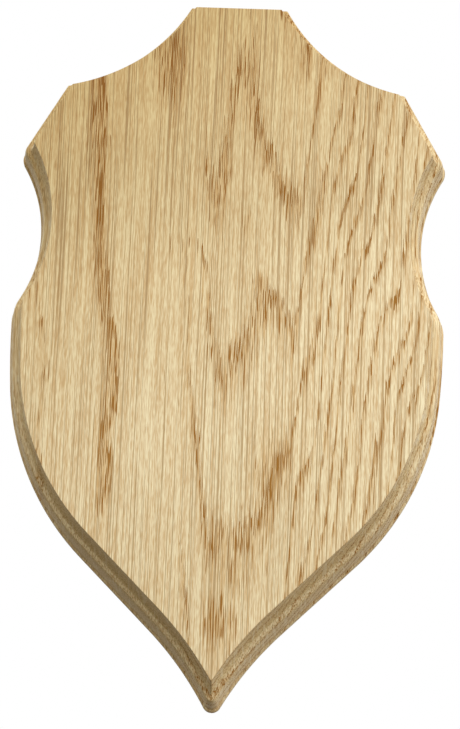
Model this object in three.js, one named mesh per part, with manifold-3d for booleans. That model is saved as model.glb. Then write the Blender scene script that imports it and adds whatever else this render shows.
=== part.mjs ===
// Antler trophy plaque: one solid oak shield board with a stepped ogee moulding run round its edge.
// Millimetres, +Z up towards the top of the shield. The back lies in the plane Y = 0, against the wall,
// and the face looks along -Y. The origin is on the back, at the middle of the board's height.

import * as THREE from "three";
import { mergeVertices } from "three/addons/utils/BufferGeometryUtils.js";
import Module from "manifold-3d";

// Board
const boardHeight = 250;
const boardThickness = 22;
const topEdgeZ = boardHeight / 2;

// Back outline, right half, from the middle of the top edge down to the tip
const topHalfWidth = 17.6;
const neckRadius = 60;
const neckCorner = new THREE.Vector2(59.6, 94.6);
const earCorner = new THREE.Vector2(74.4, 68.6);
const biteRadius = 50.3;
const shoulderCorner = new THREE.Vector2(74.6, 12.9);
const flankRadius = 310;
const flankLean = THREE.MathUtils.degToRad(1);
const flankTurn = THREE.MathUtils.degToRad(4.9);
const bellyRadius = 92.6;
const bellyTurn = THREE.MathUtils.degToRad(41.1);
const runLength = 34.8;
const tipRunRadius = 118;

// Rounding of the back outline's corners
const topCornerRounding = 2;
const neckCornerRounding = 2;
const earRounding = 4.5;
const shoulderRounding = 11.5;
const tipRounding = 3.2;

// Edge moulding: a lip, a convex rise, a narrow flat, and a cove up to the crisp edge of the face
const backArrisEase = 0.3;
const lipHeight = 2.4;
const lipEase = 0.35;
const lipWidth = 0.7;
const riseWidth = 1.2;
const riseTop = 12.6;
const flatWidth = 0.7;
const flatRise = 0.4;
const coveWidth = 2.1;
const riseSteps = 4;
const coveSteps = 4;

// Keyhole slot in the back, which drops over a screw head
const slotEntryZ = 60;
const slotTravel = 16;
const slotEntryRadius = 6;
const slotNeckWidth = 6;
const slotNeckDepth = 4.5;
const slotDepth = 10;
const cutterOverrun = 1;

// Points along each stretch of half an outline
const shortStretch = 3;
const roundingSteps = 4;
const neckSteps = 14;
const biteSteps = 14;
const flankSteps = 5;
const bellySteps = 14;
const tipRunSteps = 9;
const slotArcSteps = 16;

// Points closer together than this are one point
const mergeDistance = 1e-4;

// Pale sanded oak
const oakColour = 0xd9be8c;
const oakRoughness = 0.6;

// A stretch of outline is a straight line or an arc. A convex arc has its centre inside the board.
function line(point, direction) {
  return { point, direction };
}

function arc(centre, radius, convex) {
  return { centre, radius, convex };
}

const centreLine = line(new THREE.Vector2(0, 0), new THREE.Vector2(0, -1));

// Unit vectors for a heading measured from straight down, positive outwards (to the right)
function headingOf(angle) {
  return new THREE.Vector2(Math.sin(angle), -Math.cos(angle));
}

function inwardOf(direction) {
  return new THREE.Vector2(direction.y, -direction.x);
}

// The same stretch, moved inwards by a distance
function moveInward(stretch, distance) {
  if (stretch.direction) {
    const point = stretch.point.clone().addScaledVector(inwardOf(stretch.direction), distance);
    return line(point, stretch.direction);
  }
  return arc(stretch.centre, stretch.radius + (stretch.convex ? -distance : distance), stretch.convex);
}

// The point of a stretch that is nearest to a given point
function nearestOn(stretch, point) {
  if (stretch.direction) {
    const along = point.clone().sub(stretch.point).dot(stretch.direction);
    return stretch.point.clone().addScaledVector(stretch.direction, along);
  }
  return point.clone().sub(stretch.centre).setLength(stretch.radius).add(stretch.centre);
}

// Where a line crosses a circle, on the side nearest to a given point
function crossCircle(straight, circle, near) {
  const middle = nearestOn(straight, circle.centre);
  const half = Math.sqrt(circle.radius ** 2 - middle.distanceToSquared(circle.centre));
  const side = Math.sign(near.clone().sub(middle).dot(straight.direction));
  return middle.addScaledVector(straight.direction, side * half);
}

// Where two circles cross, on the side nearest to a given point: it lies on their common chord
function crossCircles(first, second, near) {
  const between = second.centre.clone().sub(first.centre);
  const gap = between.length();
  const along = (first.radius ** 2 - second.radius ** 2 + gap ** 2) / (2 * gap);
  const direction = between.normalize();
  const chordMiddle = first.centre.clone().addScaledVector(direction, along);
  return crossCircle(line(chordMiddle, inwardOf(direction)), first, near);
}

function cross(first, second, near) {
  if (first.direction) {
    return crossCircle(first, second, near);
  }
  if (second.direction) {
    return crossCircle(second, first, near);
  }
  return crossCircles(first, second, near);
}

// Centre of an arc between two points that bows into the board, seen going down the right-hand side
function hollowCentre(start, end, radius) {
  const chord = end.clone().sub(start);
  const rise = Math.sqrt(radius ** 2 - chord.lengthSq() / 4);
  const outward = inwardOf(chord.clone().normalize()).negate();
  return start.clone().add(end).multiplyScalar(0.5).addScaledVector(outward, rise);
}

// The stretches of the back outline, with the corner that each one but the last ends in.
// A joint with no rounding is smooth: its two stretches share a tangent there.
function backOutline() {
  const topCorner = new THREE.Vector2(topHalfWidth, topEdgeZ);
  const slant = earCorner.clone().sub(neckCorner).normalize();
  const flankInward = inwardOf(headingOf(flankLean));
  const flankCentre = shoulderCorner.clone().addScaledVector(flankInward, flankRadius);
  const bellyHeading = headingOf(flankLean - flankTurn);
  const flankEnd = flankCentre.clone().addScaledVector(inwardOf(bellyHeading), -flankRadius);
  const bellyCentre = flankEnd.clone().addScaledVector(inwardOf(bellyHeading), bellyRadius);
  const runHeading = headingOf(flankLean - flankTurn - bellyTurn);
  const bellyEnd = bellyCentre.clone().addScaledVector(inwardOf(runHeading), -bellyRadius);
  const runEnd = bellyEnd.clone().addScaledVector(runHeading, runLength);
  const tipRunCentre = runEnd.clone().addScaledVector(inwardOf(runHeading), -tipRunRadius);
  return [
    { stretch: line(topCorner, new THREE.Vector2(1, 0)), end: topCorner, rounding: topCornerRounding,
      steps: shortStretch },
    { stretch: arc(hollowCentre(topCorner, neckCorner, neckRadius), neckRadius, false), end: neckCorner,
      rounding: neckCornerRounding, steps: neckSteps },
    { stretch: line(neckCorner, slant), end: earCorner, rounding: earRounding, steps: shortStretch },
    { stretch: arc(hollowCentre(earCorner, shoulderCorner, biteRadius), biteRadius, false),
      end: shoulderCorner, rounding: shoulderRounding, steps: biteSteps },
    { stretch: arc(flankCentre, flankRadius, true), end: flankEnd, steps: flankSteps },
    { stretch: arc(bellyCentre, bellyRadius, true), end: bellyEnd, steps: bellySteps },
    { stretch: line(bellyEnd, runHeading), end: runEnd, steps: shortStretch },
    { stretch: arc(tipRunCentre, tipRunRadius, false), steps: tipRunSteps },
  ];
}

// Points along a stretch from one point to another, without the last
function pointsAlong(stretch, start, end, steps) {
  const points = [];
  for (let i = 0; i < steps; i += 1) {
    points.push(nearestOn(stretch, start.clone().lerp(end, i / steps)));
  }
  return points;
}

// Points round a corner, without the last
function pointsRound(centre, radius, start, end) {
  const startAngle = start.clone().sub(centre).angle();
  const endAngle = end.clone().sub(centre).angle();
  const turn = THREE.MathUtils.euclideanModulo(endAngle - startAngle + Math.PI, 2 * Math.PI) - Math.PI;
  const points = [];
  for (let i = 0; i < roundingSteps; i += 1) {
    const angle = startAngle + (turn * i) / roundingSteps;
    points.push(new THREE.Vector2(radius * Math.cos(angle), radius * Math.sin(angle)).add(centre));
  }
  return points;
}

// The whole outline at a distance inside the back outline, going round clockwise seen from the front.
// A corner keeps its centre while it is round, and turns into a mitre further in.
function outlineAt(inset) {
  const stretches = backOutline();
  const half = [];
  let start = new THREE.Vector2(0, topEdgeZ - inset);
  stretches.forEach(({ stretch, end, rounding, steps }, i) => {
    const moved = moveInward(stretch, inset);
    const next = stretches[i + 1];
    if (next && rounding === undefined) {
      const joint = nearestOn(moved, end);
      half.push(...pointsAlong(moved, start, joint, steps));
      start = joint;
      return;
    }
    const reach = Math.max(next ? rounding : tipRounding, inset);
    const centre = next
      ? cross(moveInward(stretch, reach), moveInward(next.stretch, reach), end)
      : crossCircle(centreLine, moveInward(stretch, reach), start);
    const radius = reach - inset;
    if (radius === 0) {
      half.push(...pointsAlong(moved, start, centre, steps), ...Array(roundingSteps).fill(centre));
      start = centre;
      return;
    }
    const roundStart = nearestOn(moved, centre);
    const roundEnd = next
      ? nearestOn(moveInward(next.stretch, inset), centre)
      : centre.clone().sub(new THREE.Vector2(0, radius));
    half.push(...pointsAlong(moved, start, roundStart, steps));
    half.push(...pointsRound(centre, radius, roundStart, roundEnd));
    start = roundEnd;
  });
  half.push(start);
  const mirrored = half.slice(1, -1).reverse().map((point) => new THREE.Vector2(-point.x, point.y));
  return [...half, ...mirrored];
}

// The moulding's section, as distance in from the back outline against height above the back
function mouldingSection() {
  const section = [
    { inset: backArrisEase, height: 0 },
    { inset: 0, height: backArrisEase },
    { inset: 0, height: lipHeight - lipEase },
    { inset: lipEase, height: lipHeight },
  ];
  for (let i = 0; i <= riseSteps; i += 1) {
    const angle = (Math.PI / 2) * (i / riseSteps);
    section.push({
      inset: lipWidth + riseWidth * (1 - Math.cos(angle)),
      height: lipHeight + (riseTop - lipHeight) * Math.sin(angle),
    });
  }
  const coveStart = lipWidth + riseWidth + flatWidth;
  const coveFoot = riseTop + flatRise;
  for (let i = 0; i <= coveSteps; i += 1) {
    const angle = (Math.PI / 2) * (i / coveSteps);
    section.push({
      inset: coveStart + coveWidth * Math.sin(angle),
      height: coveFoot + (boardThickness - coveFoot) * (1 - Math.cos(angle)),
    });
  }
  return section;
}

// A closed solid through a stack of outlines with the same number of points, capped at both ends
function loftedSolid(section) {
  const rings = section.map(({ inset }) => outlineAt(inset));
  const count = rings[0].length;
  const positions = rings.flatMap((ring, k) => {
    return ring.flatMap((point) => [point.x, -section[k].height, point.y]);
  });
  const indices = [];
  for (let k = 0; k < rings.length - 1; k += 1) {
    for (let i = 0; i < count; i += 1) {
      const here = k * count + i;
      const beside = k * count + ((i + 1) % count);
      indices.push(here, here + count, beside);
      indices.push(beside, here + count, beside + count);
    }
  }
  addCap(indices, rings[0], 0, false);
  addCap(indices, rings[rings.length - 1], (rings.length - 1) * count, true);
  const geometry = new THREE.BufferGeometry();
  geometry.setAttribute("position", new THREE.Float32BufferAttribute(positions, 3));
  geometry.setIndex(indices);
  return geometry;
}

// The flat of one end. Points that fall together in a mitre are used once.
function addCap(indices, ring, firstIndex, front) {
  const kept = ring.map((point, i) => i).filter((i) => ring[i].distanceTo(ring.at(i - 1)) > mergeDistance);
  const corners = kept.map((i) => ring[i]);
  THREE.ShapeUtils.triangulateShape(corners, []).forEach((triangle) => {
    const [a, b, c] = triangle.map((corner) => firstIndex + kept[corner]);
    indices.push(...(front ? [a, b, c] : [a, c, b]));
  });
}

// The same surface with shared vertices merged and the triangles that a mitre flattens left out
function welded(geometry) {
  const bare = geometry.clone();
  bare.deleteAttribute("normal");
  bare.deleteAttribute("uv");
  const merged = mergeVertices(bare, mergeDistance);
  const index = merged.getIndex().array;
  const kept = [];
  for (let i = 0; i < index.length; i += 3) {
    const [a, b, c] = index.slice(i, i + 3);
    if (a !== b && b !== c && c !== a) {
      kept.push(a, b, c);
    }
  }
  merged.setIndex(kept);
  return merged;
}

// A round-ended slot seen from the back, standing on its lower centre
function slotShape(width, travel) {
  const radius = width / 2;
  const shape = new THREE.Shape();
  shape.absarc(0, 0, radius, Math.PI, 2 * Math.PI, false);
  if (travel > 0) {
    shape.lineTo(radius, travel);
  }
  shape.absarc(0, travel, radius, 0, Math.PI, false);
  shape.closePath();
  return shape;
}

// A cutter that goes into the back from one depth to another. Its shape's Y runs up the board.
function slotCutter(shape, fromDepth, toDepth) {
  const geometry = new THREE.ExtrudeGeometry(shape, {
    depth: toDepth - fromDepth,
    bevelEnabled: false,
    curveSegments: slotArcSteps,
  });
  geometry.rotateX(Math.PI / 2);
  geometry.translate(0, -fromDepth, slotEntryZ);
  return geometry;
}

const wasm = await Module();
wasm.setup();

function toManifold(geometry) {
  const merged = welded(geometry);
  const mesh = new wasm.Mesh({
    numProp: 3,
    vertProperties: new Float32Array(merged.getAttribute("position").array),
    triVerts: new Uint32Array(merged.getIndex().array),
  });
  return new wasm.Manifold(mesh);
}

function fromManifold(solid) {
  const mesh = solid.getMesh();
  const geometry = new THREE.BufferGeometry();
  geometry.setAttribute("position", new THREE.Float32BufferAttribute(mesh.vertProperties, 3));
  geometry.setIndex(new THREE.Uint32BufferAttribute(mesh.triVerts, 1));
  geometry.computeVertexNormals();
  return geometry;
}

// The board: the moulded solid with the keyhole slot cut into its back. The screw head goes in at the
// round entry and slides up the wide undercut, while its shank follows the narrower neck.
function oakShieldBoard() {
  const entry = slotCutter(slotShape(2 * slotEntryRadius, 0), -cutterOverrun, slotDepth);
  const neck = slotCutter(slotShape(slotNeckWidth, slotTravel), -cutterOverrun, slotDepth);
  const undercut = slotCutter(slotShape(2 * slotEntryRadius, slotTravel), slotNeckDepth, slotDepth);
  const keyhole = toManifold(entry).add(toManifold(neck)).add(toManifold(undercut));
  const board = toManifold(loftedSolid(mouldingSection())).subtract(keyhole);
  const material = new THREE.MeshStandardMaterial({
    color: oakColour,
    roughness: oakRoughness,
    metalness: 0,
  });
  const mesh = new THREE.Mesh(fromManifold(board), material);
  mesh.name = "oak_shield_board";
  return mesh;
}

const plaque = new THREE.Group();
plaque.add(oakShieldBoard());

export default plaque;
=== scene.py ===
"""Antler trophy plaque: a shield-shaped oak board with a stepped ogee moulding, as it is sold.

The board hangs on a wall: its back lies in the plane Y = 0, its face looks along -Y and +Z is up.
"""

from functools import partial
from math import acos, cos, pi, radians, sin

import bmesh
import bpy
import numpy as np
from bpy.props import FloatProperty, FloatVectorProperty, PointerProperty
from mathutils import Matrix, Vector


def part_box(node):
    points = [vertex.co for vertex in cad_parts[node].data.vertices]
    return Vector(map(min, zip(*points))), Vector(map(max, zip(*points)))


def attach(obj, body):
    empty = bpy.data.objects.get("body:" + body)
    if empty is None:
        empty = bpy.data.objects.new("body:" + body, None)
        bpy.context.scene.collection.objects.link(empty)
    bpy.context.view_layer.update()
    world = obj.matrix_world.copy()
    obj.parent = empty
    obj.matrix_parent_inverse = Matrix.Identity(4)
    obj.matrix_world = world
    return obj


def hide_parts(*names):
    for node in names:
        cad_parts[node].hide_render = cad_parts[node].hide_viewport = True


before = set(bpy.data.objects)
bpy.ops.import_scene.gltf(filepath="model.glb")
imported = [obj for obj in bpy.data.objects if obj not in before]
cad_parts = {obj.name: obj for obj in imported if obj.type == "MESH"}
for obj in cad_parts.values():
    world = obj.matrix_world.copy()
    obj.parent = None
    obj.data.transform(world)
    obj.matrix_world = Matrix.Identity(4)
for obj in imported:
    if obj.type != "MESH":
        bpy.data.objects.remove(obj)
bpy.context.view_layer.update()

bl_info = {
    "name": "Trophy plaque",
    "version": (1, 0, 0),
    "blender": (4, 5, 0),
    "location": "3D View > Sidebar > Plaque",
    "description": "Builds an oak shield board for a small pair of antlers, and a plain stage for it",
    "category": "Add Mesh",
}

CAD_NODE = "oak_shield_board"
NODE_LOW, NODE_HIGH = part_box(CAD_NODE)
MM = 0.001

# Back outline, right half, in millimetres across and up, from the middle of the top edge to the tip
TOP_CORNER = (17.6, NODE_HIGH.z / MM)
NECK_RADIUS = 60.0
NECK_CORNER = (59.6, 94.6)
EAR_CORNER = (74.4, 68.6)
BITE_RADIUS = 50.3
SHOULDER_CORNER = (74.6, 12.9)
FLANK_RADIUS = 310.0
FLANK_LEAN = radians(1)
FLANK_TURN = radians(4.9)
BELLY_RADIUS = 92.6
BELLY_TURN = radians(41.1)
RUN_LENGTH = 34.8
TIP_RUN_RADIUS = 118.0
TOP_ROUNDING = 2.0
NECK_ROUNDING = 2.0
EAR_ROUNDING = 4.5
SHOULDER_ROUNDING = 11.5
TIP_ROUNDING = 3.2

# Edge moulding, in millimetres: a lip, a convex rise, a narrow flat and a cove up to the face
BACK_EASE = 0.3
LIP_HEIGHT = 2.4
LIP_EASE = 0.35
LIP_WIDTH = 0.7
RISE_WIDTH = 1.2
RISE_TOP = 12.6
FLAT_WIDTH = 0.7
FLAT_RISE = 0.4
COVE_WIDTH = 2.1

# Keyhole slot in the back, in millimetres
SLOT_ENTRY_Z = 60.0
SLOT_TRAVEL = 16.0
SLOT_ENTRY_RADIUS = 6.0
SLOT_NECK_RADIUS = 3.0
SLOT_NECK_DEPTH = 4.5
SLOT_DEPTH = 10.0

# How finely the surfaces are divided
TOP_STEPS = 12
NECK_STEPS = 56
SLANT_STEPS = 24
BITE_STEPS = 66
FLANK_STEPS = 26
BELLY_STEPS = 64
RUN_STEPS = 28
TIP_RUN_STEPS = 46
CORNER_STEPS = 10
EASE_STEPS = 4
CURVE_STEPS = 14
SLOT_STEPS = 16
SHARP_ANGLE = radians(28)

# Points that lie nearer than this to each other, in metres, are one
MERGE = 1e-6


# Plane geometry on arrays of points: a stretch of outline is a line or an arc, and every value may
# hold one row for each level of the moulding

def inward_of(direction):
    """A heading turned a quarter to the right: into the board, going down its right-hand side."""
    return np.stack([direction[..., 1], -direction[..., 0]], -1)


def heading_of(angle):
    """The unit vector at an angle from straight down, positive to the right."""
    return np.array([sin(angle), -cos(angle)])


def unit(vector):
    """Each vector over its own length."""
    return vector / np.linalg.norm(vector, axis=-1, keepdims=True)


def line(point, direction):
    """A straight stretch through a point, along a unit vector."""
    return {"point": np.asarray(point, float), "direction": np.asarray(direction, float)}


def arc(centre, radius, side):
    """side is -1 where moving inwards makes the arc smaller, and 1 where it makes it larger."""
    return {"centre": np.asarray(centre, float), "radius": radius, "side": side}


def moved(stretch, inset):
    """The stretch moved into the board: a line along its normal, an arc by its radius."""
    if "direction" in stretch:
        shift = inset * inward_of(stretch["direction"])
        return {**stretch, "point": stretch["point"] + shift}
    return {**stretch, "radius": stretch["radius"] + stretch["side"] * inset}


def nearest_on(stretch, point):
    """The foot of the perpendicular on a line, or the point of a circle on the ray to the point."""
    if "direction" in stretch:
        reach = np.sum((point - stretch["point"]) * stretch["direction"], -1, keepdims=True)
        return stretch["point"] + reach * stretch["direction"]
    return stretch["centre"] + stretch["radius"] * unit(point - stretch["centre"])


def cross_circle(straight, circle, near):
    """Half a chord away from the chord's middle, on the side of a given point."""
    middle = nearest_on(straight, circle["centre"])
    away = np.sum((middle - circle["centre"]) ** 2, -1, keepdims=True)
    half = np.sqrt(circle["radius"] ** 2 - away)
    side = np.sign(np.sum((near - middle) * straight["direction"], -1, keepdims=True))
    return middle + side * half * straight["direction"]


def cross(first, second, near):
    """Where two stretches cross. Two circles cross on their common chord."""
    if "direction" in first:
        return cross_circle(first, second, near)
    if "direction" in second:
        return cross_circle(second, first, near)
    between = second["centre"] - first["centre"]
    gap = np.linalg.norm(between)
    along = (first["radius"] ** 2 - second["radius"] ** 2 + gap**2) / (2 * gap)
    chord = line(first["centre"] + along * between / gap, inward_of(between / gap))
    return cross_circle(chord, first, near)


def hollow_centre(start, end, radius):
    """Centre of an arc from start to end that bows into the board, seen going down its right side."""
    chord = end - start
    rise = np.sqrt(radius**2 - chord @ chord / 4)
    return (start + end) / 2 - inward_of(unit(chord)) * rise


def points_along(stretch, start, end, steps):
    """Points from start up to but without end: even steps of length on a line, of angle on an arc."""
    share = (np.arange(steps) / steps)[:, None]
    if "direction" in stretch:
        return start[:, None] + (end - start)[:, None] * share
    from_start, from_end = start - stretch["centre"], end - stretch["centre"]
    first = np.arctan2(from_start[:, 1], from_start[:, 0])
    last = np.arctan2(from_end[:, 1], from_end[:, 0])
    turn = (last - first + pi) % (2 * pi) - pi
    angle = first[:, None] + turn[:, None] * share[:, 0]
    radius = np.linalg.norm(from_start, axis=1)[:, None, None]
    return stretch["centre"][..., None, :] + radius * np.stack([np.cos(angle), np.sin(angle)], -1)


def back_outline():
    """The stretches of the right half, each with its end, the rounding there and its steps."""
    top, neck, ear, shoulder = map(np.array, (TOP_CORNER, NECK_CORNER, EAR_CORNER, SHOULDER_CORNER))
    flank_centre = shoulder + inward_of(heading_of(FLANK_LEAN)) * FLANK_RADIUS
    belly_heading = heading_of(FLANK_LEAN - FLANK_TURN)
    flank_end = flank_centre - inward_of(belly_heading) * FLANK_RADIUS
    belly_centre = flank_end + inward_of(belly_heading) * BELLY_RADIUS
    run_heading = heading_of(FLANK_LEAN - FLANK_TURN - BELLY_TURN)
    belly_end = belly_centre - inward_of(run_heading) * BELLY_RADIUS
    run_end = belly_end + run_heading * RUN_LENGTH
    tip_centre = run_end - inward_of(run_heading) * TIP_RUN_RADIUS
    neck_arc = arc(hollow_centre(top, neck, NECK_RADIUS), NECK_RADIUS, 1)
    bite_arc = arc(hollow_centre(ear, shoulder, BITE_RADIUS), BITE_RADIUS, 1)
    return (
        (line(top, (1, 0)), top, TOP_ROUNDING, TOP_STEPS),
        (neck_arc, neck, NECK_ROUNDING, NECK_STEPS),
        (line(neck, unit(ear - neck)), ear, EAR_ROUNDING, SLANT_STEPS),
        (bite_arc, shoulder, SHOULDER_ROUNDING, BITE_STEPS),
        (arc(flank_centre, FLANK_RADIUS, -1), flank_end, None, FLANK_STEPS),
        (arc(belly_centre, BELLY_RADIUS, -1), belly_end, None, BELLY_STEPS),
        (line(belly_end, run_heading), run_end, None, RUN_STEPS),
        (arc(tip_centre, TIP_RUN_RADIUS, 1), None, TIP_ROUNDING, TIP_RUN_STEPS),
    )


def outlines(insets, crispness):
    """Whole outlines at these distances inside the back outline, clockwise seen from the front, from
    the middle of the top edge. Each corner is an arc about the crossing of its two stretches moved
    in by the larger of its rounding and the inset, so it tightens going in, to crispness at least."""
    inset = insets[:, None]
    stretches = back_outline()
    centre_line = line((0, 0), (0, -1))
    start = np.stack([np.zeros_like(insets), TOP_CORNER[1] - insets], -1)
    rows = []
    for i, (stretch, end, rounding, steps) in enumerate(stretches):
        here = moved(stretch, inset)
        if rounding is None:
            joint = nearest_on(here, end)
            rows.append(points_along(here, start, joint, steps))
            start = joint
            continue
        following = stretches[i + 1][0] if end is not None else None
        reach = np.maximum(rounding, inset + crispness)
        if following is None:
            centre = cross_circle(centre_line, moved(stretch, reach), start)
            round_end = centre - (reach - inset) * np.array([0, 1])
        else:
            centre = cross(moved(stretch, reach), moved(following, reach), end)
            round_end = nearest_on(moved(following, inset), centre)
        round_start = nearest_on(here, centre)
        rows.append(points_along(here, start, round_start, steps))
        rows.append(points_along({"centre": centre}, round_start, round_end, CORNER_STEPS))
        start = round_end
    half = np.concatenate([*rows, start[:, None]], 1)
    mirrored = half[:, -2:0:-1] * np.array([-1, 1])
    return np.concatenate([half, mirrored], 1)


def moulding_section(thickness, arris):
    """Rows of (inset, height) from the back to the face. The rise and the cove are quarter ellipses,
    and every edge that a hand would feel is a quarter circle."""
    ease = np.linspace(0, pi / 2, EASE_STEPS + 1)
    curve = np.linspace(0, pi / 2, CURVE_STEPS + 1)
    cove_foot = RISE_TOP + FLAT_RISE
    cove_start = LIP_WIDTH + RISE_WIDTH + FLAT_WIDTH
    cove_height = thickness - cove_foot
    cove = np.linspace(0, acos(arris / cove_height), CURVE_STEPS + 1)
    parts = (
        (BACK_EASE * (1 - np.sin(ease)), BACK_EASE * (1 - np.cos(ease))),
        (LIP_EASE * (1 - np.cos(ease)), LIP_HEIGHT - LIP_EASE * (1 - np.sin(ease))),
        (LIP_WIDTH + RISE_WIDTH * (1 - np.cos(curve)),
         LIP_HEIGHT + (RISE_TOP - LIP_HEIGHT) * np.sin(curve)),
        (cove_start + COVE_WIDTH * np.sin(cove), cove_foot + cove_height * (1 - np.cos(cove))),
        (cove_start + COVE_WIDTH + arris * (1 - np.cos(ease[1:])),
         thickness - arris * (1 - np.sin(ease[1:]))),
    )
    return np.concatenate([np.stack(part, -1) for part in parts])


def slot_outline(entry_radius, neck_radius):
    """The keyhole's mouth: a round entry that runs into a neck with a round end."""
    meet = acos(neck_radius / entry_radius)
    turns = np.concatenate([
        np.linspace(-pi / 2, 0, SLOT_STEPS, endpoint=False),
        np.linspace(0, meet, SLOT_STEPS, endpoint=False),
    ])
    entry = entry_radius * np.stack([np.cos(turns), np.sin(turns)], -1)
    sides = np.linspace(entry_radius * sin(meet), SLOT_TRAVEL, SLOT_STEPS, endpoint=False)
    neck = np.stack([np.full(SLOT_STEPS, neck_radius), sides], -1)
    return slot_ring(np.concatenate([entry, neck]), neck_radius)


def undercut_outline(radius, neck_radius):
    """The wider slot behind it, in steps that match the mouth's."""
    turns = np.linspace(-pi / 2, 0, SLOT_STEPS, endpoint=False)
    low = radius * np.stack([np.cos(turns), np.sin(turns)], -1)
    meet = radius * sin(acos(neck_radius / radius))
    heights = np.concatenate([
        np.linspace(0, meet, SLOT_STEPS, endpoint=False),
        np.linspace(meet, SLOT_TRAVEL, SLOT_STEPS, endpoint=False),
    ])
    sides = np.stack([np.full(len(heights), radius), heights], -1)
    return slot_ring(np.concatenate([low, sides]), radius)


def slot_ring(half, top_radius):
    """Closes half a slot outline with its round top and its mirror image, standing on its centre."""
    turns = np.linspace(0, pi / 2, SLOT_STEPS + 1)
    top = np.stack([np.cos(turns), np.sin(turns)], -1) * top_radius + np.array([0, SLOT_TRAVEL])
    right = np.concatenate([half, top])
    whole = np.concatenate([right, right[-2:0:-1] * np.array([-1, 1])])
    return whole + np.array([0, SLOT_ENTRY_Z])


def stack(rings, depths):
    """Points of the outlines, each outline laid at its own place along Y."""
    behind = np.broadcast_to(depths[:, None], rings.shape[:2])
    return np.stack([rings[..., 0], behind, rings[..., 1]], -1).reshape(-1, 3)


def ring_faces(levels, count, first):
    """Quads between neighbouring rings. They face right of the way that a ring runs."""
    here = first + np.arange(levels - 1)[:, None] * count + np.arange(count)
    beside = first + np.arange(levels - 1)[:, None] * count + np.roll(np.arange(count), -1)
    return np.stack([here, here + count, beside + count, beside], -1).reshape(-1, 4)


def keyhole_rings(ease):
    """The keyhole slot's outlines from the back inwards, with their places along Y: the eased edge,
    the mouth, and the undercut behind it down to the slot's floor."""
    mouth = slot_outline(SLOT_ENTRY_RADIUS, SLOT_NECK_RADIUS)
    eased = slot_outline(SLOT_ENTRY_RADIUS + ease, SLOT_NECK_RADIUS + ease)
    undercut = undercut_outline(SLOT_ENTRY_RADIUS, SLOT_NECK_RADIUS)
    depths = np.array([0, -ease, -SLOT_NECK_DEPTH, -SLOT_NECK_DEPTH, -SLOT_DEPTH])
    return np.stack([eased, mouth, mouth, undercut, undercut]), depths


def shield_mesh(settings):
    """A solid of outline by moulding section: point (i, k) is point i of the outline that lies as
    far in as level k of the section, at that level's height above the back. The keyhole slot is a
    second stack of rings, sunk into the back."""
    section = moulding_section(-NODE_LOW.y / MM, settings.arris / MM)
    rings = outlines(section[:, 0], settings.crispness / MM)
    levels, count = rings.shape[:2]
    slot_rings, slot_depths = keyhole_rings(settings.slot_ease / MM)
    slot_levels, slot_count = slot_rings.shape[:2]
    slot_first = levels * count
    walls = np.concatenate([
        ring_faces(levels, count, 0),
        ring_faces(slot_levels, slot_count, slot_first),
    ])

    # Flat faces: the front, the slot's floor, and the back as two halves that meet above and below
    # the slot, so that they can go round it
    face_cap = (levels - 1) * count + np.arange(count)
    floor_cap = slot_first + (slot_levels - 1) * slot_count + np.arange(slot_count)
    half, slot_half = count // 2, slot_count // 2
    right_back = [*range(0, half + 1), *range(slot_first, slot_first + slot_half + 1)]
    left_back = [*range(half, count), 0, *range(slot_first + slot_half, slot_first + slot_count),
                 slot_first]
    caps = [face_cap[::-1].tolist(), floor_cap[::-1].tolist(), right_back, left_back]

    points = np.concatenate([stack(rings, -section[:, 1]), stack(slot_rings, slot_depths)]) * MM
    mesh = bpy.data.meshes.new("oak_shield")
    mesh.from_pydata(np.clip(points, NODE_LOW, NODE_HIGH), [], [*walls.tolist(), *caps])
    smooth = np.arange(len(mesh.polygons)) < len(walls)
    mesh.polygons.foreach_set("use_smooth", smooth)
    return mesh


def linear(colour):
    """An sRGB hex colour as linear red, green, blue and alpha."""
    shares = np.array([int(colour[i:i + 2], 16) / 255 for i in (1, 3, 5)])
    curved = ((shares + 0.055) / 1.055) ** 2.4
    return (*np.where(shares <= 0.04045, shares / 12.92, curved), 1.0)


def add(tree, kind, *values, inputs=None, curve=(), **settings):
    """Adds a shader node with its settings. The values fill its sockets in order, and inputs fills
    named ones: a number or a colour is set, and a node or a socket is linked. A curve's points run
    from 0 to 1 both ways, and the curve never swings past them."""
    node = tree.nodes.new("ShaderNode" + kind)
    for name, value in settings.items():
        setattr(node, name, value)
    if curve:
        drawn = node.mapping.curves[0]
        while len(drawn.points) < len(curve):
            drawn.points.new(0.5, 0.5)
        for point, location in zip(drawn.points, curve):
            point.location = location
            point.handle_type = "AUTO_CLAMPED"
        node.mapping.update()
    filled = list(zip((socket for socket in node.inputs if socket.enabled), values))
    filled += [(node.inputs[name], value) for name, value in (inputs or {}).items()]
    for socket, value in filled:
        if isinstance(value, bpy.types.Node):
            value = next(output for output in value.outputs if output.enabled)
        if isinstance(value, bpy.types.NodeSocket):
            tree.links.new(value, socket)
        else:
            socket.default_value = value
    return node


# Figure of the face, in millimetres across (x) and up (z). A range is written as the two ends
# of what it reads, and then what it gives at each, where that isn't 0 and 1.

# Year rings are counted from the middle outwards. RINGS_ACROSS is how many have been passed at each
# x, at mid-height; one more is met for each RING_RISE down the face, or RING_DEPTH below it.
RING_RISE = 58.0
RING_START = 1.87
RING_DEPTH = 4.2
RINGS_ACROSS = (
    (-80, 9.2), (-40, 4.2), (-16, 1.5), (-10, 0.8), (-7, 0.5), (-5, 0.24), (-1, 0), (22.8, 0),
    (24.5, 0.16), (25.6, 0.44), (28.4, 0.95), (31.3, 1.16), (35.3, 2.16), (39.9, 3.16),
    (43.5, 4.16), (48.5, 5.16), (53.1, 6.16), (59.3, 7.16), (62.1, 8.16), (66.2, 9.16), (80, 12.4),
)
MOST_RINGS = 16.0
REACH_ACROSS = 80.0

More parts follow.
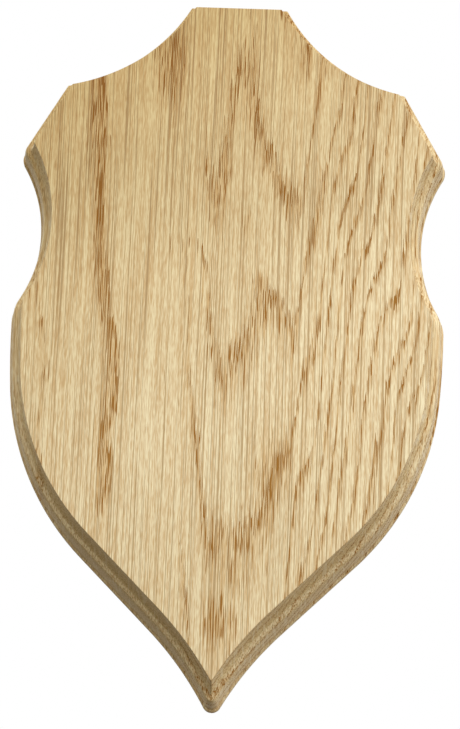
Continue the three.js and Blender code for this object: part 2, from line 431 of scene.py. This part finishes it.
# All ring lines slant slightly. Those on the right lean over at a height that falls by LEAN_FALL for
# each millimetre to the right, and high up the left-hand valley lies further left
SLANT = -0.02
LEAN_FALL = 3.0
LEAN = (148, 202, -2.4, 2.4)
LEANING_SIDE = (28, 42)
VALLEY_SHIFT = (22, 50, 0, 6)
VALLEY_SIDE = (-4, 12, 1, 0)

# A tongue of rings runs up between two valleys, leaning over and growing away from mid-height
TONGUE_MIDDLE = 16.5
TONGUE_LEAN = -0.17
TONGUE_LEFT = 3.5
TONGUE_WIDTH = 10.0
TONGUE_RINGS = 0.42
TONGUE_GROWTH = 5e-5

# Early wood: its part of the year, how far streaks jag its lines and fringe them, in rings, how
# strong its clumps are, and how it weakens left of the middle
SPRING = (0, 0.34, 1, 0)
JAG = 0.3
FRINGE = 0.6
CLUMPS = (0.3, 0.6, 0.72, 1.0)
LEFT_OF_MIDDLE = (-15, -8, 0.15, 1)

# Right-hand edge of the strand of pores down the left of the face: each height, and how far across
STRAND_EDGE = (
    (-110, -37), (-75, -37), (-60, -36.8), (-50, -36.3), (-35, -37.8), (-25, -36.3), (-12, -36),
    (0, -37), (10, -39.3), (22, -41), (35, -42.5), (50, -43.3), (70, -43.8), (90, -45), (110, -47),
)
REACH_UP = 110.0
STRAND_LEFT = -50.0
STRAND_RIGHT = -30.0
STRAND_JAG = 6.0
STRAND_START = (-0.4, 0.4)

# That strand, and a fainter one outside it: how far left of the edge it starts, how its pores thin
# out to the left, and over which heights it comes in
STRANDS = (
    (0.0, (2.8, 7.5, 0.65, 0), (-78, -50)),
    (24.2, (0.4, 2.6, 0.6, 0), (34, 14)),
)

# Patches: middle across and up, half width and half height, and how crowded the pores are where a
# ring only grazes the face, or how much is left of the ring lines where they fade
GRAZED = (
    (-22, 100, 7, 24, 0.7), (-14, 22, 4, 45, 0.3), (11.5, 20, 2, 6, 0.6), (6, 41, 2, 8, 0.4),
    (1, -99, 7, 12, 0.74), (-48, 80, 4, 22, 0.5), (18, -46, 8, 15, 0.52), (5, -80, 8, 13, 0.5),
)
FADED = (
    (2, 114, 5, 19, 0.1), (19, 112, 6, 18, 0.35), (-11.5, 80, 4, 28, 0.05),
    (-10.5, 44, 4, 18, 0.1),
)
PATCH_DEPTH = 8.0
PATCH_RAGGED = 2.5
PATCH_EDGE = (0.3, 1)

# Sizes of the grain in millimetres: across, through the thickness, and along. Oak's open pores are
# about 0.3 mm wide, as drawn. Its fibres are about 0.02 mm wide and too fine to show, as a pixel of
# the render covers about 0.36 mm, so fibres and hair lines are drawn about 0.3 mm wide.
SWAY_GRAIN = (35, 35, 140)
STREAK_GRAIN = (1.3, 1.3, 55)
FRINGE_GRAIN = (0.32, 0.32, 26)
FINE_GRAIN = (0.32, 0.32, 70)
FIBRE_GRAIN = (0.26, 0.26, 3.2)
HAIR_GRAIN = (0.33, 0.33, 80)
RAY_GRAIN = (0.7, 7, 4)
PATCH_GRAIN = (11, 11, 30)
PORE_GRAIN = (0.29, 0.29, 9.5)
NOISE_MIDDLE = 0.5

# How the noises are read: the sway in millimetres, how high the pore noise must be for a pore as
# pores crowd, the softness of a pore's outline, and how strong each tone of the ground is
SWAY = (0.25, 0.75, -0.7, 0.7)
PORE_LIMIT = (0, 0.7, 0.84, 0.455)
PORE_OUTLINE = (0.0, 0.045)
TONES = ((STREAK_GRAIN, 0.75), (FINE_GRAIN, 1.75), (FIBRE_GRAIN, 2.2))
HAIR_OUTLINE = (0.595, 0.67)
RAY_OUTLINE = (0.63, 0.69, 0, 0.5)

# How far each colour covers what lies under it
SPRING_COVER = 0.52
HAIR_COVER = 0.75
PORE_COVER = 0.95

# Parts of the normal that tell the edge from the face, and the end grain from the side grain
EDGE_ON = (0.9, 0.5)
END_GRAIN = (0.15, 0.75)

# The brown of the top goes by the height plus TOP_SLANT of the distance across, so it reaches
# lower on the left
TOP_SLANT = -0.55
TOP_BROWN = (-20, 120)

# Depth of a hair line as a share of a pore's
HAIR_DEPTH = 0.3


def rings_passed(put, across, up):
    """Share of MOST_RINGS passed going across, read at a place that is first moved sideways: by
    the slant of all rings, the lean of those on the right and the shift of the left valley."""
    bend = put("Math", across, LEAN_FALL, up, operation="MULTIPLY_ADD")
    leans = put("MapRange", bend, *LEAN, interpolation_type="SMOOTHSTEP")
    right = put("MapRange", across, *LEANING_SIDE, interpolation_type="SMOOTHSTEP")
    slanted = put("Math", up, SLANT, across, operation="MULTIPLY_ADD")
    leaned = put("Math", slanted, put("Math", leans, right, operation="MULTIPLY"),
                 operation="SUBTRACT")
    high = put("MapRange", up, *VALLEY_SHIFT, interpolation_type="SMOOTHSTEP")
    left = put("MapRange", across, *VALLEY_SIDE, interpolation_type="SMOOTHSTEP")
    shifted = put("Math", high, left, leaned, operation="MULTIPLY_ADD")
    share = put("MapRange", shifted, -REACH_ACROSS, REACH_ACROSS)
    return put("FloatCurve", 1.0, share, curve=[
        ((at + REACH_ACROSS) / (2 * REACH_ACROSS), rings / MOST_RINGS)
        for at, rings in RINGS_ACROSS])


def rings_with_tongue(put, across, up):
    """RING_START and the rings of the tongue: e to the minus square of the distance from its middle
    in tongue widths, times rings that grow with the square of the height."""
    leaning = put("Math", up, TONGUE_LEAN, TONGUE_MIDDLE, operation="MULTIPLY_ADD")
    middle = put("Math", leaning, TONGUE_LEFT, operation="MAXIMUM")
    off = put("Math", put("Math", across, middle, operation="SUBTRACT"), TONGUE_WIDTH,
              operation="DIVIDE")
    squared = put("Math", put("Math", off, off, operation="MULTIPLY"), -1.0, operation="MULTIPLY")
    bell = put("Math", squared, operation="EXPONENT")
    growth = put("Math", put("Math", up, up, operation="MULTIPLY"), TONGUE_GROWTH, TONGUE_RINGS,
                 operation="MULTIPLY_ADD")
    return put("Math", bell, growth, RING_START, operation="MULTIPLY_ADD")


def ring_count(put, across, through, up):
    """The sum of the rings passed going across, down the face and below it, with the tongue's."""
    tongue = rings_with_tongue(put, across, up)
    climb = put("Math", up, -1 / RING_RISE, tongue, operation="MULTIPLY_ADD")
    counted = put("Math", rings_passed(put, across, up), MOST_RINGS, climb,
                  operation="MULTIPLY_ADD")
    depth = put("Math", through, -NODE_LOW.y / MM, operation="ADD")
    return put("Math", depth, 1 / RING_DEPTH, counted, operation="MULTIPLY_ADD")


def strands(put, across, up, jag):
    """How crowded the pores of the strands are. Each starts sharply at its right-hand edge, and
    its pores thin out to the left."""
    height = put("MapRange", up, -REACH_UP, REACH_UP)
    edge_share = put("FloatCurve", 1.0, height, curve=[
        ((at + REACH_UP) / (2 * REACH_UP), (edge - STRAND_LEFT) / (STRAND_RIGHT - STRAND_LEFT))
        for at, edge in STRAND_EDGE])
    edge = put("MapRange", edge_share, 0, 1, STRAND_LEFT, STRAND_RIGHT)
    inside = put("Math", put("Math", edge, across, operation="SUBTRACT"),
                 put("Math", jag, STRAND_JAG, operation="MULTIPLY"), operation="ADD")
    found = []
    for start, thinning, heights in STRANDS:
        beyond = put("Math", inside, start, operation="SUBTRACT")
        begins = put("MapRange", beyond, *STRAND_START)
        thins = put("MapRange", beyond, *thinning)
        comes_in = put("MapRange", up, *heights, interpolation_type="SMOOTHSTEP")
        found.append(put("Math", put("Math", begins, thins, operation="MULTIPLY"), comes_in,
                         operation="MULTIPLY"))
    return put("Math", *found, operation="MAXIMUM")


def away_from(put, patch, place, fringe):
    """How far a place is from the middle of a patch, where 1 is its ragged outline."""
    middle_x, middle_z, half_width, half_height = patch
    centred = put("VectorMath", place, (middle_x, NODE_LOW.y / MM, middle_z),
                  operation="SUBTRACT")
    shrunk = put("VectorMath", centred, (half_width, PATCH_DEPTH, half_height),
                 operation="DIVIDE")
    away = put("VectorMath", shrunk, operation="LENGTH")
    return put("Math", fringe, PATCH_RAGGED, away, operation="MULTIPLY_ADD")


def early_wood(put, place):
    """How crowded the pores are at a place, from 0 to 1: the most that the ring lines, the strands
    and the patches give. The fraction of the ring count is the time of the year, and the pores
    belong to the spring."""
    across, through, up = put("SeparateXYZ", place).outputs
    streak, fine, clump = (
        put("TexNoise", put("VectorMath", place, size, operation="DIVIDE"), 1.0, 1.0)
        for size in (STREAK_GRAIN, FRINGE_GRAIN, PATCH_GRAIN))

    # Streaks break the ring lines into upright fringes
    jag = put("Math", streak, NOISE_MIDDLE, operation="SUBTRACT")
    fringe = put("Math", fine, NOISE_MIDDLE, operation="SUBTRACT")
    jagged = put("Math", jag, JAG, ring_count(put, across, through, up), operation="MULTIPLY_ADD")
    fringed = put("Math", fringe, FRINGE, jagged, operation="MULTIPLY_ADD")
    year = put("Math", fringed, operation="FRACT")
    spring = put("MapRange", year, *SPRING)
    strength = put("MapRange", clump, *CLUMPS)
    inner = put("MapRange", across, *LEFT_OF_MIDDLE, interpolation_type="SMOOTHSTEP")
    rings = put("Math", put("Math", spring, strength, operation="MULTIPLY"), inner,
                operation="MULTIPLY")
    for *patch, least in FADED:
        away = away_from(put, patch, place, fringe)
        faded = put("MapRange", away, *PATCH_EDGE, least, 1)
        rings = put("Math", rings, faded, operation="MULTIPLY")

    crowded = put("Math", rings, strands(put, across, up, jag), operation="MAXIMUM")
    for *patch, most in GRAZED:
        away = away_from(put, patch, place, fringe)
        grazed = put("MapRange", away, *PATCH_EDGE, most, 0)
        crowded = put("Math", crowded, grazed, operation="MAXIMUM")
    return crowded


def open_pores(put, grain, early):
    """Open pores: short lines along the grain, crowded in the early wood and few elsewhere."""
    limit = put("MapRange", early, *PORE_LIMIT)
    pore = put("TexNoise", put("VectorMath", grain, PORE_GRAIN, operation="DIVIDE"), 1.0, 0.0)
    return put("MapRange", put("Math", pore, limit, operation="SUBTRACT"), *PORE_OUTLINE)


def hair_lines(put, grain):
    """Long thin lines along the grain, where a noise is high."""
    hair = put("TexNoise", put("VectorMath", grain, HAIR_GRAIN, operation="DIVIDE"), 1.0, 0.0)
    return put("MapRange", hair, *HAIR_OUTLINE)


def ground_tone(put, grain):
    """How pale the ground is, from 0 to 1: the sum of streaks and of finer and shorter fibres."""
    tones = []
    for size, strength in TONES:
        noise = put("TexNoise", put("VectorMath", grain, size, operation="DIVIDE"), 1.0, 1.0)
        tones.append(put("Math", put("Math", noise, NOISE_MIDDLE, operation="SUBTRACT"), strength,
                         operation="MULTIPLY"))
    streaked = put("Math", tones[0], tones[1], operation="ADD")
    return put("Math", put("Math", streaked, tones[2], operation="ADD"), NOISE_MIDDLE,
               operation="ADD")


def oak_colour(put, settings, grain, early, pores, hairs):
    """The colour from the ground up: streaks, early wood, hair lines and pores, then rays on the
    edges, and the tints of the top, the edge and the end grain."""
    light = ground_tone(put, grain)
    ground = put("Mix", light, settings.tan, settings.cream, data_type="RGBA")
    browned = put("Mix", put("Math", early, SPRING_COVER, operation="MULTIPLY"), ground,
                  settings.spring, data_type="RGBA")
    haired = put("Mix", put("Math", hairs, HAIR_COVER, operation="MULTIPLY"), browned,
                 settings.hair, data_type="RGBA")
    pored = put("Mix", put("Math", pores, PORE_COVER, operation="MULTIPLY"), haired,
                settings.pore, data_type="RGBA")

    # Rays: thin pale sheets from the pith outwards, which the edges of the board cut through
    ray = put("TexNoise", put("VectorMath", grain, RAY_GRAIN, operation="DIVIDE"), 1.0, 0.0)
    normal = put("SeparateXYZ", put("NewGeometry").outputs["Normal"]).outputs
    edge_on = put("MapRange", put("Math", normal["Y"], operation="ABSOLUTE"), *EDGE_ON)
    rays = put("Math", put("MapRange", ray, *RAY_OUTLINE), edge_on, operation="MULTIPLY")
    rayed = put("Mix", rays, pored, settings.ray, data_type="RGBA")

    # The board's face and back are a little browner towards the top left
    across, _, up = put("SeparateXYZ", grain).outputs
    outwards = put("Math", across, TOP_SLANT, up, operation="MULTIPLY_ADD")
    flat = put("Math", 1.0, edge_on, operation="SUBTRACT")
    brown = put("Math", put("MapRange", outwards, *TOP_BROWN), flat, operation="MULTIPLY")
    aged = put("Mix", brown, rayed, settings.top_tint, data_type="RGBA", blend_type="MULTIPLY")

    # Sawn and moulded end grain drinks more of the finish and turns darker
    end_grain = put("MapRange", put("Math", normal["Z"], operation="ABSOLUTE"), *END_GRAIN,
                    interpolation_type="SMOOTHSTEP")
    edged = put("Mix", edge_on, aged, settings.edge_tint, data_type="RGBA", blend_type="MULTIPLY")
    return put("Mix", end_grain, edged, settings.end_tint, data_type="RGBA",
               blend_type="MULTIPLY")


def oak_material(settings):
    """Flat-sawn European oak, planed and sanded, with a thin matt clear finish. To the eye that is
    a pale tan ground with long fine streaks, brown pore lines where each year's ring meets the
    face, pale ray flecks on the edges, darker end grain, and a soft sheen that open pores break."""
    material = bpy.data.materials.new("oak_flat_sawn_sanded_matt")
    material.use_nodes = True
    tree = material.node_tree
    tree.nodes.clear()
    put = partial(add, tree)
    place = put("VectorMath", put("TexCoord").outputs["Object"], 1 / MM, operation="SCALE")

    # All grain sways slightly together, over a few centimetres
    sway = put("TexNoise", put("VectorMath", place, SWAY_GRAIN, operation="DIVIDE"), 1.0, 1.0)
    swayed = put("MapRange", sway, *SWAY)
    grain = put("VectorMath", place, put("CombineXYZ", swayed), operation="ADD")

    early = early_wood(put, grain)
    pores = open_pores(put, grain, early)
    hairs = hair_lines(put, grain)
    colour = oak_colour(put, settings, grain, early, pores, hairs)

    # Pores and hair lines are open and rough in the thin finish
    holes = put("Math", hairs, HAIR_DEPTH, pores, operation="MULTIPLY_ADD")
    bump = put("Bump", invert=True, inputs={
        "Height": holes, "Distance": settings.pore_depth, "Strength": settings.bump})
    rough = put("MapRange", pores, 0, 1, settings.roughness, settings.pore_roughness)
    shader = put("BsdfPrincipled", inputs={
        "Base Color": colour, "Roughness": rough, "Normal": bump,
        "Specular IOR Level": settings.specular})
    put("OutputMaterial", shader)
    return material


class ShieldBoardSettings(bpy.types.PropertyGroup):
    """Sizes of the shield board that a maker would choose."""

    arris: FloatProperty(
        name="Face arris", description="Radius of the eased edge between the face and the cove",
        default=0.00025, min=0.0001, max=0.001, unit="LENGTH", subtype="DISTANCE")
    crispness: FloatProperty(
        name="Corner crispness", description="Least radius that an outer corner keeps on the face",
        default=0.0004, min=0.0001, max=0.002, unit="LENGTH", subtype="DISTANCE")
    slot_ease: FloatProperty(
        name="Slot ease", description="Width of the eased edge round the keyhole slot's mouth",
        default=0.0003, min=0.0001, max=0.001, unit="LENGTH", subtype="DISTANCE")


class OakSettings(bpy.types.PropertyGroup):
    """Colours of the oak and how its finish takes the light."""

    tan: FloatVectorProperty(
        name="Tan", description="Darker streaks between the pores",
        default=linear("#D4B482"), size=4, min=0, max=1, subtype="COLOR")
    cream: FloatVectorProperty(
        name="Cream", description="Paler streaks between the pores",
        default=linear("#F6E8C0"), size=4, min=0, max=1, subtype="COLOR")
    spring: FloatVectorProperty(
        name="Early wood", description="Ground between the pores of the early wood",
        default=linear("#C8933A"), size=4, min=0, max=1, subtype="COLOR")
    hair: FloatVectorProperty(
        name="Hair lines", description="Thin grey-brown lines along the grain",
        default=linear("#AE8D5C"), size=4, min=0, max=1, subtype="COLOR")
    pore: FloatVectorProperty(
        name="Pores", description="Open pores of the early wood",
        default=linear("#9A6614"), size=4, min=0, max=1, subtype="COLOR")
    ray: FloatVectorProperty(
        name="Rays", description="Pale flecks where a ray meets the board's edge",
        default=linear("#F4EAD2"), size=4, min=0, max=1, subtype="COLOR")
    top_tint: FloatVectorProperty(
        name="Top of the board", description="What the top multiplies the face's colour by",
        default=linear("#DDD1B3"), size=4, min=0, max=1, subtype="COLOR")
    edge_tint: FloatVectorProperty(
        name="Edge", description="What the moulded edge multiplies the face's colour by",
        default=linear("#FFFBF0"), size=4, min=0, max=1, subtype="COLOR")
    end_tint: FloatVectorProperty(
        name="End grain", description="What end grain multiplies the face's colour by",
        default=linear("#E6DFD2"), size=4, min=0, max=1, subtype="COLOR")
    roughness: FloatProperty(
        name="Roughness", description="Roughness of the matt finish between the pores",
        default=0.5, min=0, max=1, subtype="FACTOR")
    pore_roughness: FloatProperty(
        name="Pore roughness", description="Roughness inside the open pores",
        default=0.75, min=0, max=1, subtype="FACTOR")
    specular: FloatProperty(
        name="Gloss", description="Strength of the finish's reflection, where 0.5 is plain varnish",
        default=0.3, min=0, max=1, subtype="FACTOR")
    pore_depth: FloatProperty(
        name="Pore depth", description="How deep the finish sinks into a pore",
        default=0.00006, min=0, max=0.001, precision=5, unit="LENGTH", subtype="DISTANCE")
    bump: FloatProperty(
        name="Relief", description="How strongly the pores' relief shows",
        default=0.6, min=0, max=1, subtype="FACTOR")


class StageSettings(bpy.types.PropertyGroup):
    """The photograph's view and the studio's light."""

    azimuth: FloatProperty(
        name="Azimuth", description="How far round to the board's right the camera stands",
        default=radians(1.5), unit="ROTATION", subtype="ANGLE")
    elevation: FloatProperty(
        name="Elevation", description="How far above the board's own level the camera stands",
        default=radians(-16.11), unit="ROTATION", subtype="ANGLE")
    roll: FloatProperty(
        name="Roll", description="How far the camera leans to its right",
        default=radians(-2.37), unit="ROTATION", subtype="ANGLE")
    distance: FloatProperty(
        name="Distance", description="From the camera to the point of the face that it aims at",
        default=1.4333, unit="LENGTH", subtype="DISTANCE")
    lens: FloatProperty(
        name="Lens", description="Focal length on a 36 mm sensor", default=208.43, unit="CAMERA")
    key_power: FloatProperty(
        name="Key light", description="Power of the large soft light above and to the right",
        default=16.5, unit="POWER")
    ambient: FloatProperty(
        name="Ambient", description="Strength of the soft light from above", default=1.0, min=0)
    bounce: FloatVectorProperty(
        name="Bounce", description="Colour of the weak light from below",
        default=linear("#FFEAAE"), size=4, min=0, max=1, subtype="COLOR")
    white: FloatVectorProperty(
        name="White", description="Colour of the soft light from above and of the background",
        default=linear("#FFFFFF"), size=4, min=0, max=1, subtype="COLOR")
    floor: FloatVectorProperty(
        name="Floor", description="Colour of the floor's paint",
        default=linear("#E6E4E0"), size=4, min=0, max=1, subtype="COLOR")


# The stage, in metres. The camera aims at a point of the face. AIM is in millimetres times MM.
AIM = Vector((1.98, -22.0, -8.84)) * MM
SENSOR_WIDTH = 36.0
CLIP_START = 0.05
CLIP_END = 20.0
FLOOR_REACH = 12.0
FLOOR_HEIGHT = -2.8
FLOOR_ROUGHNESS = 0.9
KEY_SIZE = 1.6
KEY_PLACE = Vector((0.35, -1.4, 1.1))

# The world's light by direction: height plus LIGHT_SLANT to the right, on a unit sphere, from
# LEAST_LIGHT of the ambient strength up to all of it, and from the bounce's colour to white
LIGHT_SLANT = 0.5
LIGHT_RISE = (-0.9, 0.35)
WHITE_RISE = (-0.9, 0.1)
LEAST_LIGHT = 0.05


def new_piece(name, data):
    """An object in the scene, at the origin, unturned and unscaled."""
    piece = bpy.data.objects.new(name, data)
    bpy.context.scene.collection.objects.link(piece)
    return piece


def make_floor(settings):
    """A flat square of matt rolled paint, pale and even, well below the board. It sends no light
    back up: the board's edges are lit as if it weren't there, by the world's weak bounce."""
    reach, height = FLOOR_REACH, FLOOR_HEIGHT
    mesh = bpy.data.meshes.new("floor")
    mesh.from_pydata([(-reach, -reach, height), (reach, -reach, height), (reach, reach, height),
                      (-reach, reach, height)], [], [(0, 1, 2, 3)])
    paint = bpy.data.materials.new("floor_pale_matt_paint")
    paint.use_nodes = True
    surface = paint.node_tree.nodes["Principled BSDF"]
    surface.inputs["Base Color"].default_value = settings.floor
    surface.inputs["Roughness"].default_value = FLOOR_ROUGHNESS
    mesh.materials.append(paint)
    floor = new_piece("floor", mesh)
    floor.visible_diffuse = False
    return floor


def make_camera(settings):
    """A camera at its azimuth, elevation and distance from AIM, its up turned from level by roll."""
    back = Vector((sin(settings.azimuth) * cos(settings.elevation),
                   -cos(settings.azimuth) * cos(settings.elevation),
                   sin(settings.elevation)))
    level = back.cross(Vector((0, 0, -1))).normalized()
    upright = back.cross(level).normalized()
    right = cos(settings.roll) * level - sin(settings.roll) * upright
    up = cos(settings.roll) * upright + sin(settings.roll) * level
    lens = bpy.data.cameras.new("camera")
    lens.lens = settings.lens
    lens.sensor_width = SENSOR_WIDTH
    lens.clip_start = CLIP_START
    lens.clip_end = CLIP_END
    camera = new_piece("camera", lens)
    turn = Matrix((right, up, back)).transposed().to_4x4()
    camera.matrix_world = Matrix.Translation(AIM + back * settings.distance) @ turn
    return camera


def make_key(settings):
    """A large round lamp above and to the right, turned to the board."""
    lamp = bpy.data.lights.new("key", "AREA")
    lamp.shape = "DISK"
    lamp.size = KEY_SIZE
    lamp.energy = settings.key_power
    key = new_piece("key", lamp)
    key.location = KEY_PLACE
    key.rotation_euler = (-KEY_PLACE).to_track_quat("-Z", "Y").to_euler()


def make_world(settings):
    """Soft light that weakens and turns warm downwards, and a white ground that the camera sees."""
    world = bpy.data.worlds.new("studio")
    world.use_nodes = True
    tree = world.node_tree
    tree.nodes.clear()
    put = partial(add, tree)
    seen = put("LightPath").outputs["Is Camera Ray"]
    right, _, up = put("SeparateXYZ", put("TexCoord").outputs["Generated"]).outputs
    rise = put("Math", right, LIGHT_SLANT, up, operation="MULTIPLY_ADD")
    strength = put("MapRange", rise, *LIGHT_RISE, LEAST_LIGHT * settings.ambient,
                   settings.ambient)
    whiter = put("MapRange", rise, *WHITE_RISE)
    tint = put("Mix", whiter, settings.bounce, settings.white, data_type="RGBA")
    ambient = put("Background", tint, strength)
    ground = put("Background", settings.white, 1.0)
    put("OutputWorld", put("MixShader", seen, ambient, ground))
    return world


class PLAQUE_OT_shield_board(bpy.types.Operator):
    """Build the oak shield board with its moulded edge and keyhole slot"""

    bl_idname = "plaque.shield_board"
    bl_label = "Shield board"

    def execute(self, context):
        mesh = shield_mesh(context.scene.plaque_board)
        form = bmesh.new()
        form.from_mesh(mesh)
        bmesh.ops.remove_doubles(form, verts=form.verts, dist=MERGE)
        form.to_mesh(mesh)
        form.free()
        mesh.set_sharp_from_angle(angle=SHARP_ANGLE)
        mesh.materials.append(oak_material(context.scene.plaque_oak))
        piece = new_piece("oak_shield", mesh)
        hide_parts(CAD_NODE)
        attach(piece, "root")
        return {"FINISHED"}


class PLAQUE_OT_stage(bpy.types.Operator):
    """Set the pale floor, the soft studio light and the camera at the photograph's viewing angle"""

    bl_idname = "plaque.stage"
    bl_label = "Stage"

    def execute(self, context):
        scene = context.scene
        settings = scene.plaque_stage
        scene.view_settings.view_transform = "Standard"
        floor = make_floor(settings)
        scene.camera = make_camera(settings)
        make_key(settings)
        scene.world = make_world(settings)
        return {"FINISHED"}


class PLAQUE_PT_build(bpy.types.Panel):
    """Lists the settings and the steps that build the plaque"""

    bl_idname = "PLAQUE_PT_build"
    bl_label = "Trophy plaque"
    bl_space_type = "VIEW_3D"
    bl_region_type = "UI"
    bl_category = "Plaque"

    def draw(self, context):
        for group in (context.scene.plaque_board, context.scene.plaque_oak,
                      context.scene.plaque_stage):
            box = self.layout.box()
            for name in group.__annotations__:
                box.prop(group, name)
        self.layout.operator("plaque.shield_board")
        self.layout.operator("plaque.stage")


CLASSES = (ShieldBoardSettings, OakSettings, StageSettings, PLAQUE_OT_shield_board,
           PLAQUE_OT_stage, PLAQUE_PT_build)


def register():
    """Makes the settings and the operators known, and hangs the settings on the scene."""
    for kind in CLASSES:
        bpy.utils.register_class(kind)
    bpy.types.Scene.plaque_board = PointerProperty(type=ShieldBoardSettings)
    bpy.types.Scene.plaque_oak = PointerProperty(type=OakSettings)
    bpy.types.Scene.plaque_stage = PointerProperty(type=StageSettings)


def unregister():
    """Takes away what register made, last first."""
    del bpy.types.Scene.plaque_stage
    del bpy.types.Scene.plaque_oak
    del bpy.types.Scene.plaque_board
    for kind in reversed(CLASSES):
        bpy.utils.unregister_class(kind)


def main():
    """Builds everything in order."""
    register()
    bpy.ops.plaque.shield_board()
    bpy.ops.plaque.stage()


if __name__ == "__main__":
    main()
